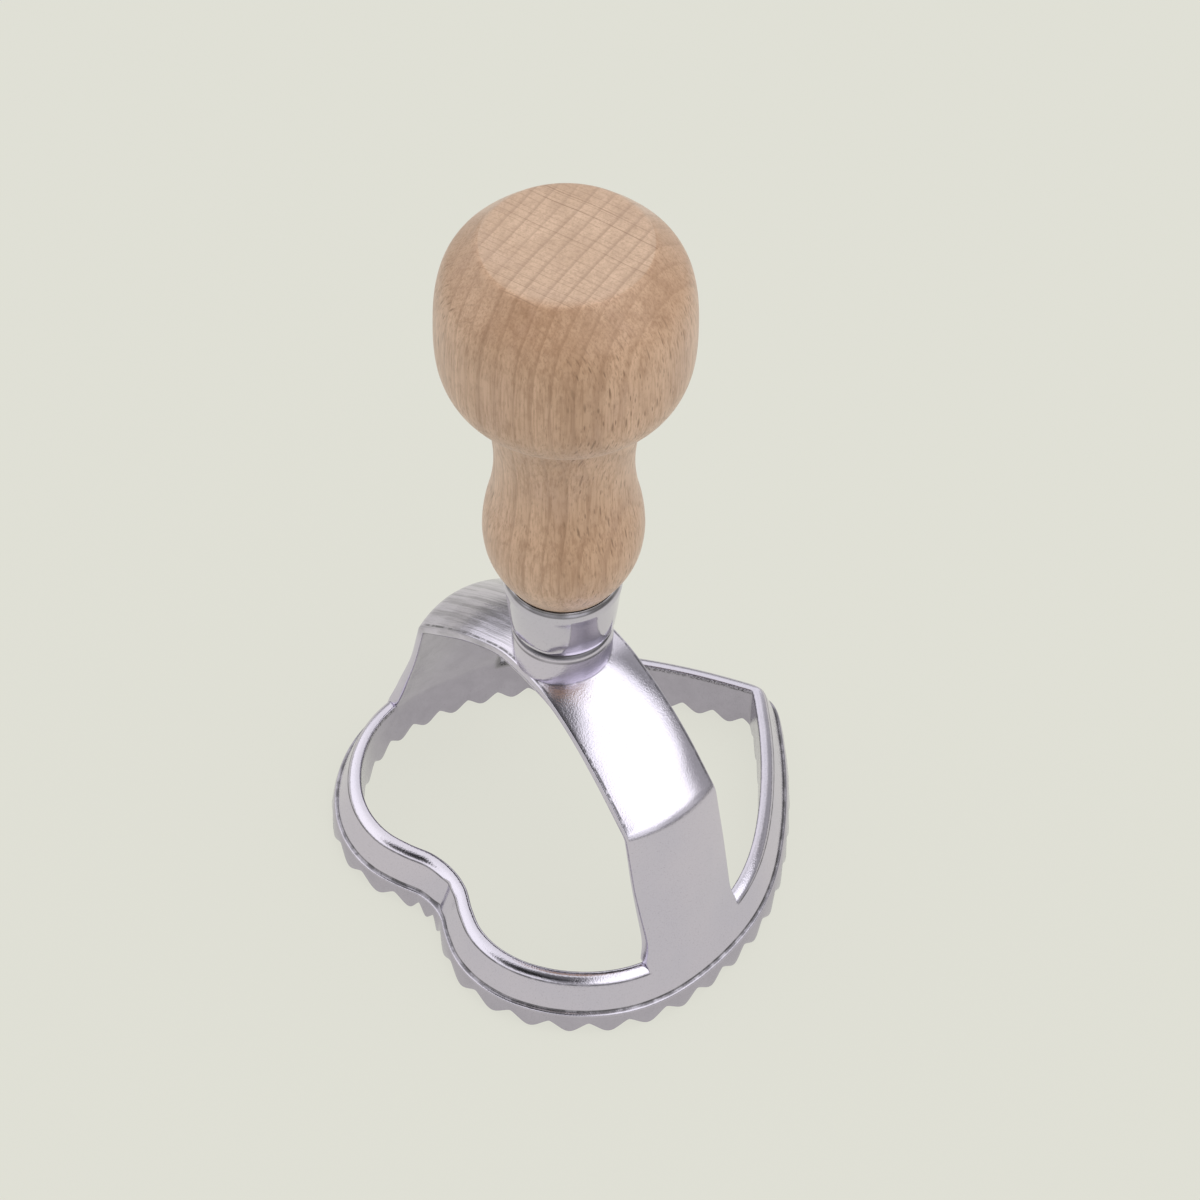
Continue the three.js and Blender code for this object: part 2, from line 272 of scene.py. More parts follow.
def cutter_head_mesh():
    columns = []
    for t in range(TEETH):
        for p in TOOTH_PHASES:
            columns.append(((t + p - 0.5 + TOOTH_SHIFT) / TEETH, p))
    n = len(columns)
    base = [heart_at(f) for f, _ in columns]
    normal = [heart_normal(f) for f, _ in columns]
    k_count = len(ring_section(0.0))

    def ring_point(i, k):
        o, z = ring_section(tooth_z(columns[i][1]))[k]
        if k in CREASED and base[i][1] < -15:                # the wall is creased in the cleft
            o -= 0.34 * CREASED[k] * math.exp(-((base[i][0] - 1.4) / 1.0) ** 2)
        q = base[i] + normal[i] * o
        return np.array([q[0], q[1] + AXIS_Y, z])

    # columns under each arm: those of the outer face within the arm's foot
    foot_w = half_width(PATH_LEN, ARM_FOOT[1])
    near = [i for i in range(n) if 0 < columns[i][0] % 1.0 < 0.5 and abs(ring_point(i, K_OUT)[1] - AXIS_Y - MID_NEAR) <= foot_w and base[i][0] > 15]
    count = len(near)
    middle = min((i for i in range(n) if base[i][0] < -15), key=lambda i: abs(ring_point(i, K_OUT)[1] - AXIS_Y - MID_FAR))
    far = [middle + count // 2 - a for a in range(count)]
    under = {}
    for group in (near, far):
        lo, hi = min(group), max(group)
        for i in range(lo, hi + 1):
            under[i] = (i == lo or i == hi)

    verts, ids = [], {}

    def vid(i, k):
        if (i, k) not in ids:
            ids[(i, k)] = len(verts)
            verts.append(ring_point(i, k))
        return ids[(i, k)]

    faces = []
    for i in range(n):
        j = (i + 1) % n
        both = i in under and j in under
        for k in range(k_count):
            k2 = (k + 1) % k_count
            if both and K_OUT <= k < K_IN:
                continue
            faces.append((vid(i, k), vid(j, k), vid(j, k2), vid(i, k2)))

    chain = list(range(K_OUT + 1, K_IN))
    parts = [0.05, 0.16, 0.34, 0.5, 0.66, 0.84, 0.95]

    def ring_loop(group):
        first, last = group[0], group[-1]
        loop = [vid(i, K_OUT) for i in group]
        loop += [vid(last, k) for k in chain]
        loop += [vid(i, K_IN) for i in reversed(group)]
        loop += [vid(first, k) for k in reversed(chain)]
        return loop

    def across(group, mid):
        y = np.array([ring_point(i, K_OUT)[1] - AXIS_Y - mid for i in group])
        half = (y.max() - y.min()) / 2
        return (y - (y.max() + y.min()) / 2) / half

    v_near, v_far = across(near, MID_NEAR), across(far, MID_FAR)

    def strap_loop(s, side):
        """One section of the strap, s along the path from the middle, side +1 towards the near arm."""
        x, z = path_at(s)
        nx, nz = path_normal(s)
        if s < 0.4:
            nx, nz = 0.0, 1.0
        foot = smooth(24.0, 9.0, z) if s > 30 else 0.0
        mixed = 0.5 + 0.5 * side * min(1.0, s / 30)
        v = v_far + (v_near - v_far) * mixed
        mid = MID_FAR + (MID_NEAR - MID_FAR) * mixed
        w = half_width(s, z)
        c = crown(s)
        if side < 0:                       # the far half of the bridge sits a little lower
            z -= 0.55 * smooth(3, 12, s) * smooth(31, 20, s)
        group = near if side > 0 else far
        outer, inner = [], []
        out_row = np.array([ring_point(i, K_OUT) for i in group])
        in_row = np.array([ring_point(i, K_IN) for i in group])
        out_x, in_x = np.abs(out_row[:, 0]), np.abs(in_row[:, 0])
        foot_x = path_at(PATH_LEN)[0]
        for a in range(count):
            y = mid + v[a] * w
            drop = c * v[a] * v[a]
            thick = EDGE_T + 0.62 * c * (1 - v[a] * v[a])
            if s < 9:
                thick += 0.5 * (1 - smooth(3, 9, s))
            free = np.array([x - nx * drop, z - nz * drop])
            lean = x - foot_x
            seated = np.array([out_x[a] + lean, z])
            po = free * (1 - foot) + seated * foot
            under_free = free - np.array([nx, nz]) * thick
            under_seated = np.array([in_x[a] + lean, z + 0.25])
            pi = under_free * (1 - foot) + under_seated * foot
            outer.append((side * po[0], y + AXIS_Y, po[1]))
            inner.append((side * pi[0], y + AXIS_Y, pi[1]))

        def side_chain(p, q, way):
            p, q = np.array(p), np.array(q)
            out = []
            for t in parts:
                bulge = 0.20 * (1 - abs(2 * t - 1) ** 3)
                m = p + (q - p) * t
                m[1] += way * bulge
                out.append(tuple(m))
            return out

        loop = list(outer)
        loop += side_chain(outer[-1], inner[-1], 1)
        loop += list(reversed(inner))
        loop += list(reversed(side_chain(outer[0], inner[0], -1)))
        return loop

    rows_s = []
    s = PATH_LEN - 1.25
    bend = PATH_S[int(np.argmin(np.linalg.norm(PATH - np.array(CREASE), axis=1)))]
    while s > 0.7:
        rows_s.append(s)
        near_bend = abs(s - bend)
        step = 0.45 if near_bend < 1.6 else (0.8 if near_bend < 3 else 1.3)
        if s > PATH_LEN - 3:
            step = 0.55
        s -= step
    loops = [ring_loop(near)]

    def add_row(points):
        start = len(verts)
        verts.extend(np.array(p) for p in points)
        loops.append(list(range(start, start + len(points))))

    for s in rows_s:
        add_row(strap_loop(s, 1))
    add_row(strap_loop(0.0, 1))
    for s in reversed(rows_s):
        add_row(strap_loop(s, -1))
    loops.append(ring_loop(far))
    size = len(loops[0])
    for r0, r1 in zip(loops, loops[1:]):
        for a in range(size):
            b = (a + 1) % size
            faces.append((r0[a], r0[b], r1[b], r1[a]))
    return verts, faces


def cutter_head():
    verts, faces = cutter_head_mesh()
    head = new_object("cutter_head_casting", verts, faces, 60)
    sub = head.modifiers.new("subdivide", "SUBSURF")
    sub.levels = sub.render_levels = 1
    apply_modifiers(head)

    collar_profile = [(0, 40.2), (6.0, 40.2), (6.3, 40.3), (6.5, 40.6), (6.75, 41.6), (6.95, 43.0), (7.08, 44.0), (7.12, 45.2), (7.14, 46.4), (7.12, 47.3)]
    collar_profile += [(7.12 - 0.85 * (1 - math.cos(a)), 47.75 + 1.15 * math.sin(a)) for a in np.linspace(0, math.pi / 2, 11)]
    collar_profile += [(6.0, 48.91), (0, 48.91)]
    collar = lathe("collar_tool", collar_profile, 192)
    bore = lathe("bore_tool", [(0, 38.0), (2.95, 38.0), (2.95, 51.0), (0, 51.0)], 64)
    for tool, operation in ((collar, "UNION"), (bore, "DIFFERENCE")):
        mod = head.modifiers.new(operation.lower(), "BOOLEAN")
        mod.object = tool
        mod.operation = operation
        mod.solver = "EXACT"
        apply_modifiers(head)
    for tool in (collar, bore):
        bpy.data.objects.remove(tool)
    shade(head, 38)
    return head


# ---------------------------------------------------------------- turned pieces

def handle_piece():
    body = [(6.1, 58.75), (7.4, 58.77), (7.58, 58.86), (7.68, 59.1)]
    curve = spline([(7.68, 59.1), (8.5, 60.45), (9.65, 62.5), (10.6, 65.0), (11.05, 67.6), (11.1, 70.0), (10.75, 73.1), (10.05, 76.4), (9.62, 79.8), (9.56, 83.2),
                    (9.85, 86.6), (10.4, 89.8), (11.05, 92.4), (11.75, 94.0), (12.3, 94.75)], 6)
    knob = spline([(12.3, 94.75), (13.0, 95.25), (14.2, 96.25), (15.5, 97.75), (16.45, 99.6), (17.05, 101.8), (17.32, 104.4), (17.36, 107.2), (17.28, 110.2), (17.02, 112.7),
                   (16.5, 115.0), (15.7, 116.75), (14.6, 118.15), (13.3, 119.55), (12.25, 120.65)], 6)
    top = [(11.95, 120.93), (11.7, 121.12), (11.45, 121.24), (11.15, 121.3), (9.5, 121.31), (6.5, 121.32), (3.2, 121.33), (0, 121.33)]
    inside = [(0, 76.0), (1.4, 75.2), (2.6, 74.55), (2.85, 74.3), (2.85, 62.0), (2.85, 49.85), (3.0, 49.55), (3.3, 49.4), (5.7, 49.4), (6.0, 49.5), (6.1, 49.75), (6.1, 55.0)]
    profile = inside + body + [tuple(q) for q in curve[1:]] + [tuple(q) for q in knob[1:]] + top
    return lathe("handle_turned", profile, 200, angle=34)


def ferrule_piece():
    profile = [(6.4, 49.25), (6.7, 49.2), (6.95, 49.25), (7.14, 49.42), (7.3, 49.75), (7.48, 50.5), (7.68, 52.2), (7.87, 54.0), (8.04, 55.7), (8.18, 56.8),
               (8.26, 57.3), (8.29, 57.6), (8.26, 57.92), (8.17, 58.24), (8.04, 58.52), (7.93, 58.67), (7.9, 58.73), (7.93, 58.79), (7.95, 58.86), (7.95, 59.05),
               (7.9, 59.12), (7.82, 59.13), (7.77, 59.05), (7.75, 58.8), (7.6, 58.6), (6.5, 58.58), (6.4, 58.48)]
    return lathe("ferrule_sleeve_spun", profile, 192, closed=True, angle=50)


# ---------------------------------------------------------------- materials

def nodes_of(name):
    mat = bpy.data.materials.new(name)
    mat.use_nodes = True
    tree = mat.node_tree
    tree.nodes.clear()
    out = tree.nodes.new("ShaderNodeOutputMaterial")
    shader = tree.nodes.new("ShaderNodeBsdfPrincipled")
    tree.links.new(shader.outputs["BSDF"], out.inputs["Surface"])
    return mat, tree, shader


class Net:
    """Short names for wiring a node tree."""

    def __init__(self, tree):
        self.tree = tree

    def link(self, a, b):
        self.tree.links.new(a, b)

    def put(self, socket, value):
        if isinstance(value, bpy.types.NodeSocket):
            self.link(value, socket)
        else:
            socket.default_value = value

    def coords(self):
        return self.tree.nodes.new("ShaderNodeTexCoord").outputs["Object"]

    def mapping(self, vector, scale=(1, 1, 1), location=(0, 0, 0), rotation=(0, 0, 0)):
        m = self.tree.nodes.new("ShaderNodeMapping")
        m.inputs["Scale"].default_value = scale
        m.inputs["Location"].default_value = location
        m.inputs["Rotation"].default_value = rotation
        self.link(vector, m.inputs["Vector"])
        return m.outputs["Vector"]

    def noise(self, vector, scale=1.0, detail=2.0, rough=0.5, distortion=0.0):
        t = self.tree.nodes.new("ShaderNodeTexNoise")
        t.inputs["Scale"].default_value = scale
        t.inputs["Detail"].default_value = detail
        t.inputs["Roughness"].default_value = rough
        t.inputs["Distortion"].default_value = distortion
        self.link(vector, t.inputs["Vector"])
        return t.outputs["Fac"]

    def voronoi(self, vector, scale=1.0, feature="F1", random=1.0, output="Distance", dims="3D"):
        t = self.tree.nodes.new("ShaderNodeTexVoronoi")
        t.voronoi_dimensions = dims
        t.feature = feature
        t.inputs["Scale"].default_value = scale
        t.inputs["Randomness"].default_value = random
        self.link(vector, t.inputs["Vector"])
        return t.outputs[output]

    def math(self, op, a, b=0.0, c=None, clamp=False):
        m = self.tree.nodes.new("ShaderNodeMath")
        m.operation = op
        m.use_clamp = clamp
        self.put(m.inputs[0], a)
        self.put(m.inputs[1], b)
        if c is not None:
            self.put(m.inputs[2], c)
        return m.outputs[0]

    def vmath(self, op, a, b=None, scale=None):
        m = self.tree.nodes.new("ShaderNodeVectorMath")
        m.operation = op
        self.put(m.inputs[0], a)
        if b is not None:
            self.put(m.inputs[1], b)
        if scale is not None:
            self.put(m.inputs["Scale"], scale)
        return m.outputs["Value"] if op in ("DOT_PRODUCT", "LENGTH") else m.outputs["Vector"]

    def split(self, vector):
        m = self.tree.nodes.new("ShaderNodeSeparateXYZ")
        self.link(vector, m.inputs[0])
        return m.outputs

    def join(self, x, y, z):
        m = self.tree.nodes.new("ShaderNodeCombineXYZ")
        for s, v in zip(m.inputs, (x, y, z)):
            self.put(s, v)
        return m.outputs[0]

    def span(self, value, lo, hi, to_lo=0.0, to_hi=1.0, kind="SMOOTHSTEP"):
        m = self.tree.nodes.new("ShaderNodeMapRange")
        m.interpolation_type = kind
        m.clamp = True
        self.put(m.inputs["Value"], value)
        for key, v in (("From Min", lo), ("From Max", hi), ("To Min", to_lo), ("To Max", to_hi)):
            self.put(m.inputs[key], v)
        return m.outputs["Result"]

    def mix(self, factor, a, b, blend="MIX"):
        m = self.tree.nodes.new("ShaderNodeMix")
        m.data_type = "RGBA"
        m.blend_type = blend
        m.clamp_result = False
        self.put(m.inputs[0], factor)
        self.put(m.inputs[6], a)
        self.put(m.inputs[7], b)
        return m.outputs[2]

    def ramp(self, factor, stops):
        m = self.tree.nodes.new("ShaderNodeValToRGB")
        e = m.color_ramp.elements
        while len(e) > 1:
            e.remove(e[-1])
        e[0].position, e[0].color = stops[0][0], (*stops[0][1], 1)
        for pos, col in stops[1:]:
            s = e.new(pos)
            s.color = (*col, 1)
        self.link(factor, m.inputs[0])
        return m.outputs["Color"]

    def bump(self, height, strength, distance, normal=None):
        b = self.tree.nodes.new("ShaderNodeBump")
        b.inputs["Strength"].default_value = strength
        b.inputs["Distance"].default_value = distance
        self.link(height, b.inputs["Height"])
        if normal is not None:
            self.link(normal, b.inputs["Normal"])
        return b.outputs["Normal"]

    def pointiness(self):
        return self.tree.nodes.new("ShaderNodeNewGeometry").outputs["Pointiness"]


def plated_metal(name, base, dark, rough_lo, rough_hi, grain, peel, cast=False):
    """Bright plating: soft colour drift, fine grain from under the plating, rougher convex edges and painted shade in
    concave creases.
    On the casting, painted shade darkens the inside and the foot, which are also rougher, and the bridge has long
    polishing marks with painted dark reflection streaks;
    painted shade and painted dark reflections draw dark lines at the ledge's root, the rim's corner and lip, the joint
    under the sleeve and the bridge's edges, and painted shade darkens the nooks by the far arm and the bridge's
    underside. On the sleeve, painted shadow darkens the top under the wood."""
    mat, tree, shader = nodes_of(name)
    n = Net(tree)
    p = n.vmath("SCALE", n.coords(), scale=1000.0)
    drift = n.noise(p, 0.06, 3.0, 0.55)
    cloud = n.noise(p, 0.35, 4.0, 0.6)
    fine = n.noise(p, 4.2, 3.0, 0.6)
    speck = n.noise(p, 7.0, 1.0, 0.5)
    waves = n.noise(p, 0.22, 1.0, 0.4)
    point = n.pointiness()
    edge = n.span(point, 0.47, 0.56)
    colour = n.mix(n.span(drift, 0.35, 0.68), base, tuple(c * k for c, k in zip(base[:3], (0.95, 0.96, 0.975))) + (1,))
    rough = n.math("ADD", n.span(cloud, 0.3, 0.72, rough_lo, rough_hi), n.math("MULTIPLY", edge, 0.03))
    bumped = n.bump(waves, peel, 0.0012)
    bumped = n.bump(fine, grain, 0.00006, bumped)
    if cast:
        px, py, pz = n.split(p)
        outward = n.vmath("NORMALIZE", n.join(px, n.math("SUBTRACT", py, AXIS_Y), 0.0))
        facing = n.vmath("DOT_PRODUCT", tree.nodes.new("ShaderNodeNewGeometry").outputs["Normal"], outward)
        inside = n.span(facing, -0.10, -0.55)
        foot = n.span(pz, 3.5, 2.8)
        # painted shade: the inside faces and the foot are darkened, and made a little rougher
        painted_shade_and_dullness = n.math("MAXIMUM", inside, n.math("MULTIPLY", foot, 0.75))
        painted_shade_and_dullness = n.math("MULTIPLY", painted_shade_and_dullness, n.span(cloud, 0.25, 0.75, 0.8, 1.0))
        colour = n.mix(painted_shade_and_dullness, colour, tuple(c * k for c, k in zip(base[:3], (0.63, 0.63, 0.64))) + (1,))
        rough = n.math("ADD", rough, n.math("MULTIPLY", painted_shade_and_dullness, 0.07))
        marks = n.noise(n.mapping(p, (0.05, 2.6, 0.05)), 1.0, 3.0, 0.6)
        marked = n.math("MULTIPLY", n.span(pz, 27.0, 31.0), n.span(px, 0.0, -7.0))
        bumped = n.bump(n.math("MULTIPLY", marks, marked), 0.22, 0.0002, bumped)
        # painted dark reflection streaks along the bridge's top
        painted_reflection_streak = n.math("MULTIPLY", n.span(n.noise(n.mapping(p, (0.07, 1.3, 0.07)), 1.0, 4.0, 0.7), 0.42, 0.62), marked)
        colour = n.mix(n.math("MULTIPLY", painted_reflection_streak, 0.42), colour, (0.20, 0.195, 0.21, 1))
        # painted shade in the ledge's root and in the joint under the sleeve, painted dark reflections along the rim's
        # outer corner and lip and below the joint
        patchy = n.span(n.noise(p, 0.5, 3.0, 0.65), 0.36, 0.60, 0.62, 1.0)
        root = n.span(n.math("ABSOLUTE", n.math("SUBTRACT", pz, LEDGE_Z + 0.16)), 0.28, 0.11)
        root = n.math("MULTIPLY", root, n.span(facing, -0.30, -0.06))
        corner = n.span(n.math("ABSOLUTE", n.math("SUBTRACT", pz, RIM_Z - 0.86)), 0.17, 0.04)
        corner = n.math("MULTIPLY", n.math("MULTIPLY", corner, 0.90), n.span(facing, 0.25, 0.55))
        clear_of_arms = n.span(n.math("ABSOLUTE", n.math("SUBTRACT", py, AXIS_Y + 0.6)), 8.5, 9.3)
        lip = n.span(n.math("ABSOLUTE", n.math("SUBTRACT", pz, RIM_Z - 0.42)), 0.46, 0.18)
        lip = n.math("MULTIPLY", n.math("MULTIPLY", lip, n.span(facing, -0.12, -0.45)), n.span(n.noise(p, 4.0, 2.0, 0.6), 0.44, 0.58, 0.15, 0.95))
        corner = n.math("MULTIPLY", n.math("MAXIMUM", corner, lip), clear_of_arms)
        joint = n.math("MULTIPLY", n.span(pz, 48.28, 48.52), n.span(pz, 48.905, 48.84))
        under_joint = n.span(n.math("ABSOLUTE", n.math("SUBTRACT", pz, 47.78)), 0.34, 0.10)
        joint = n.math("MAXIMUM", joint, n.math("MULTIPLY", under_joint, n.span(n.noise(p, 0.16, 1.0, 0.5), 0.40, 0.62, 0.15, 0.75)))
        painted_dark_lines_and_roughness = n.math("MAXIMUM", n.math("MULTIPLY", n.math("MAXIMUM", root, corner), patchy), joint)
        # painted dark reflection: a broken dark line along both edges of the bridge's top
        rise = n.split(tree.nodes.new("ShaderNodeNewGeometry").outputs["Normal"])[2]
        off = n.math("ABSOLUTE", n.math("SUBTRACT", py, n.math("MULTIPLY_ADD", px, -0.01, 0.65 + AXIS_Y)))
        edge_gap = n.math("SUBTRACT", n.span(n.math("ABSOLUTE", px), 6.0, 22.0, 7.42, 7.70), off)
        painted_reflection_hem = n.math("MULTIPLY", n.span(n.math("ABSOLUTE", n.math("SUBTRACT", edge_gap, 0.28)), 0.22, 0.07), n.span(pz, 30.5, 32.0))
        painted_reflection_hem = n.math("MULTIPLY", n.math("MULTIPLY", painted_reflection_hem, n.span(rise, 0.15, 0.4)), n.span(n.noise(p, 0.9, 2.0, 0.6), 0.38, 0.55, 0.25, 0.85))
        painted_dark_lines_and_roughness = n.math("MAXIMUM", painted_dark_lines_and_roughness, painted_reflection_hem)
        # painted shade in the tight corners beside the far arm's foot, which are also rougher
        painted_nook_shade_and_roughness = n.math("MULTIPLY", n.span(px, -23.0, -26.0), n.span(n.math("ABSOLUTE", n.math("SUBTRACT", py, AXIS_Y + 10.2)), 1.7, 0.9))
        painted_nook_shade_and_roughness = n.math("MULTIPLY", painted_nook_shade_and_roughness, n.span(pz, 7.0, 7.7))
        colour = n.mix(n.math("MULTIPLY", painted_nook_shade_and_roughness, 0.8), colour, (0.26, 0.25, 0.27, 1))
        rough = n.math("ADD", rough, n.math("MULTIPLY", painted_nook_shade_and_roughness, 0.30))
        # painted shade on the bridge's underside, which is also rougher
        painted_underside_shade_and_roughness = n.math("MULTIPLY", n.span(n.split(tree.nodes.new("ShaderNodeNewGeometry").outputs["Normal"])[2], -0.15, -0.55), n.span(pz, 16.0, 26.0))
        colour = n.mix(n.math("MULTIPLY", painted_underside_shade_and_roughness, n.span(cloud, 0.2, 0.8, 0.78, 0.98)), colour, (0.095, 0.092, 0.095, 1))
        rough = n.math("ADD", rough, n.math("MULTIPLY", painted_underside_shade_and_roughness, 0.22))
        # the painted shade and painted dark reflection lines darken the colour and roughen the surface
        colour = n.mix(n.math("MULTIPLY", painted_dark_lines_and_roughness, 0.85), colour, (0.05, 0.048, 0.05, 1))
        rough = n.math("ADD", rough, n.math("MULTIPLY", painted_dark_lines_and_roughness, 0.25))
    else:
        # painted shadow and dark reflection under the wood, where the sleeve is rolled over it; it is also rougher
        # there
        painted_shadow_under_wood_and_roughness = n.span(n.split(p)[2], 58.15, 58.5)
        colour = n.mix(n.math("MULTIPLY", painted_shadow_under_wood_and_roughness, n.span(n.noise(p, 0.2, 2.0, 0.5), 0.38, 0.62, 0.35, 0.85)), colour, (0.16, 0.15, 0.16, 1))
        rough = n.math("ADD", rough, n.math("MULTIPLY", painted_shadow_under_wood_and_roughness, 0.12))
    colour = n.mix(n.math("MULTIPLY", n.span(speck, 0.62, 0.72), 0.26), colour, dark)
    # painted shade in concave creases, by pointiness
    colour = n.mix(n.math("MULTIPLY", n.span(point, 0.49, 0.43), 0.70), colour, dark)
    tree.links.new(colour, shader.inputs["Base Color"])
    tree.links.new(rough, shader.inputs["Roughness"])
    shader.inputs["Metallic"].default_value = 1.0
    tree.links.new(bumped, shader.inputs["Normal"])
    return mat


def beech(name):
    """Quarter-turned beech: growth bands across X, thin ray flecks, fine pores, satin finish; painted light makes the
    end and the back of the shoulder paler, painted shade darkens the rest of the shoulder, and a painted sheen pales
    the tone towards the silhouettes.
    """
    mat, tree, shader = nodes_of(name)
    n = Net(tree)
    p = n.vmath("SCALE", n.coords(), scale=1000.0)
    p = n.vmath("ADD", p, (0.0, -AXIS_Y, 0.0))
    turn = math.radians(20.3)
    p = n.mapping(p, rotation=(0, 0, -turn))          # x now runs across the growth bands, y along them
    x, y, z = n.split(p)
    face = n.tree.nodes.new("ShaderNodeTexCoord")                                       # its normal turns with the handle
    painted_light_top_back = n.span(n.vmath("DOT_PRODUCT", face.outputs["Normal"], (-0.42, 0.34, 0.84)), 0.765, 0.825)   # painted light: the sanded end and the back of its shoulder are made paler
    # painted sheen towards the silhouettes
    painted_sheen = n.tree.nodes.new("ShaderNodeLayerWeight")
    painted_sheen.inputs["Blend"].default_value = 0.30
    flank = n.vmath("DOT_PRODUCT", face.outputs["Normal"], (-math.sin(turn), math.cos(turn), 0.0))
    across = n.span(n.math("ABSOLUTE", flank), 0.97, 0.72)                              # faces that cut the rays

    # growth bands: nearly flat sheets across x, of uneven width, drifting slowly along the grain
    drift = n.math("SUBTRACT", n.noise(n.mapping(p, (0.05, 0.03, 0.016)), 1.0, 1.0, 0.5), 0.5)
    ripple = n.math("SUBTRACT", n.noise(n.mapping(p, (0.45, 0.12, 0.035)), 1.0, 2.0, 0.5), 0.5)
    uneven = n.math("SUBTRACT", n.noise(n.join(n.math("MULTIPLY", x, 0.23), 3.7, 1.3), 1.0, 1.0, 0.5), 0.5)
    u = n.math("ADD", x, n.math("MULTIPLY", drift, 2.6))
    u = n.math("ADD", u, n.math("MULTIPLY", ripple, 0.5))
    u = n.math("ADD", u, n.math("MULTIPLY", uneven, 1.6))
    u = n.math("DIVIDE", n.math("ADD", u, 100.0), 2.45)
    ring = n.math("FRACT", u)
    ring_id = n.noise(n.join(n.math("FLOOR", u), 0.0, 0.0), 7.3, 0.0, 0.5)
    line = n.math("MULTIPLY", n.span(ring, 0.70, 0.93), n.span(ring, 1.0, 0.95))
    late = n.math("ADD", n.math("MULTIPLY", line, n.span(ring_id, 0.25, 0.75, 0.55, 1.0)), n.math("MULTIPLY", n.span(ring, 0.1, 0.9), 0.20))

    light, mid, deep = (0.690, 0.450, 0.310, 1), (0.515, 0.312, 0.194, 1), (0.305, 0.157, 0.083, 1)
    tone = n.noise(n.mapping(p, (0.09, 0.09, 0.035)), 1.0, 3.0, 0.55)
    smoke = n.noise(n.mapping(p, (0.60, 0.30, 0.028)), 1.0, 3.0, 0.6)
    mottle = n.noise(n.mapping(p, (1.0, 1.0, 0.55)), 1.0, 4.0, 0.65)
    colour = n.mix(n.span(tone, 0.34, 0.68), light, mid)
    colour = n.mix(n.math("MULTIPLY", n.span(smoke, 0.44, 0.76), 0.42), colour, deep)
    colour = n.mix(n.math("MULTIPLY", late, n.span(painted_light_top_back, 0.0, 1.0, 0.42, 0.74, "LINEAR")), colour, deep)
    pink = n.noise(n.mapping(p, (0.16, 0.2, 0.08)), 1.0, 2.0, 0.5)
    colour = n.mix(n.math("MULTIPLY", n.span(pink, 0.52, 0.78), 0.35), colour, (0.52, 0.325, 0.242, 1))
    colour = n.mix(n.math("MULTIPLY", n.span(mottle, 0.44, 0.70), 0.40), colour, deep)
    # painted sheen: a paler, pinker tone towards the silhouettes
    colour = n.mix(n.math("MULTIPLY", painted_sheen.outputs["Facing"], 0.55), colour, (0.74, 0.56, 0.47, 1))

    # fine fibres along the grain and small pores
    fibre = n.noise(n.mapping(p, (3.4, 3.4, 0.16)), 1.0, 3.0, 0.6)
    colour = n.mix(n.math("MULTIPLY", n.span(fibre, 0.42, 0.70), 0.44), colour, deep)
    pores = n.voronoi(n.mapping(p, (3.2, 3.2, 0.38)), 1.0)
    pore = n.span(pores, 0.22, 0.07)
    colour = n.mix(n.math("MULTIPLY", pore, 0.42), colour, (0.22, 0.12, 0.066, 1))
    # painted light: the end and the back of the shoulder are made paler
    colour = n.mix(n.math("MULTIPLY", painted_light_top_back, 0.30), colour, (0.62, 0.48, 0.39, 1))
    nz = n.split(face.outputs["Normal"])[2]
    painted_shade_shoulder = n.math("MULTIPLY", n.math("MULTIPLY", n.span(nz, 0.28, 0.62), n.span(painted_light_top_back, 1.0, 0.4)), n.span(nz, 0.99, 0.93))
    colour = n.mix(n.math("MULTIPLY", painted_shade_shoulder, 0.16), colour, deep)                     # painted shade on the rest of the shoulder
    colour = n.mix(n.span(z, 59.55, 59.15), colour, (0.030, 0.018, 0.012, 1))           # shadowed edge at the sleeve

    # rays: thin sheets running right across the bands, seen as spindles on the sides and as long hairlines on the end
    bend = n.math("SUBTRACT", n.noise(n.mapping(p, (0.07, 0.04, 0.02)), 1.0, 1.0, 0.5), 0.5)
    sheet = n.join(n.math("ADD", y, n.math("MULTIPLY", bend, 1.4)), z, 0.0)

    def rays(scale, lo, hi, shift, share):
        q = n.mapping(sheet, (*scale, 1.0), (*shift, 0.0))
        d = n.voronoi(q, 1.0, dims="2D")
        gate = n.voronoi(q, 1.0, output="Color", dims="2D")
        pick = n.span(n.split(gate)[0], 1.0 - share, 1.05 - share)
        return n.math("MULTIPLY", n.span(d, hi, lo), pick)

    ray_a = rays((1.15, 0.15), 0.06, 0.19, (0.0, 7.7), 0.40)
    ray_b = rays((1.60, 0.27), 0.05, 0.19, (5.0, 1.9), 0.45)
    ray_c = rays((2.40, 0.46), 0.05, 0.21, (9.0, 4.3), 0.45)
    flecks = n.math("MAXIMUM", n.math("MAXIMUM", ray_a, ray_b), n.math("MULTIPLY", ray_c, 0.55))
    upright = n.span(n.math("ABSOLUTE", n.split(face.outputs["Normal"])[2]), 0.80, 0.30, 0.12, 1.0)
    flecks = n.math("MULTIPLY", flecks, n.math("MULTIPLY", n.math("MULTIPLY", across, upright), 0.72))


    def hairlines(scale, half):
        t = n.tree.nodes.new("ShaderNodeTexVoronoi")
        t.voronoi_dimensions = "1D"
        t.inputs["Scale"].default_value = scale
        n.link(n.split(sheet)[0], t.inputs["W"])
        return n.math("MULTIPLY", n.span(t.outputs["Distance"], half * scale, 0.2 * half * scale), n.span(n.split(t.outputs["Color"])[0], 0.0, 1.0, 0.35, 1.0))

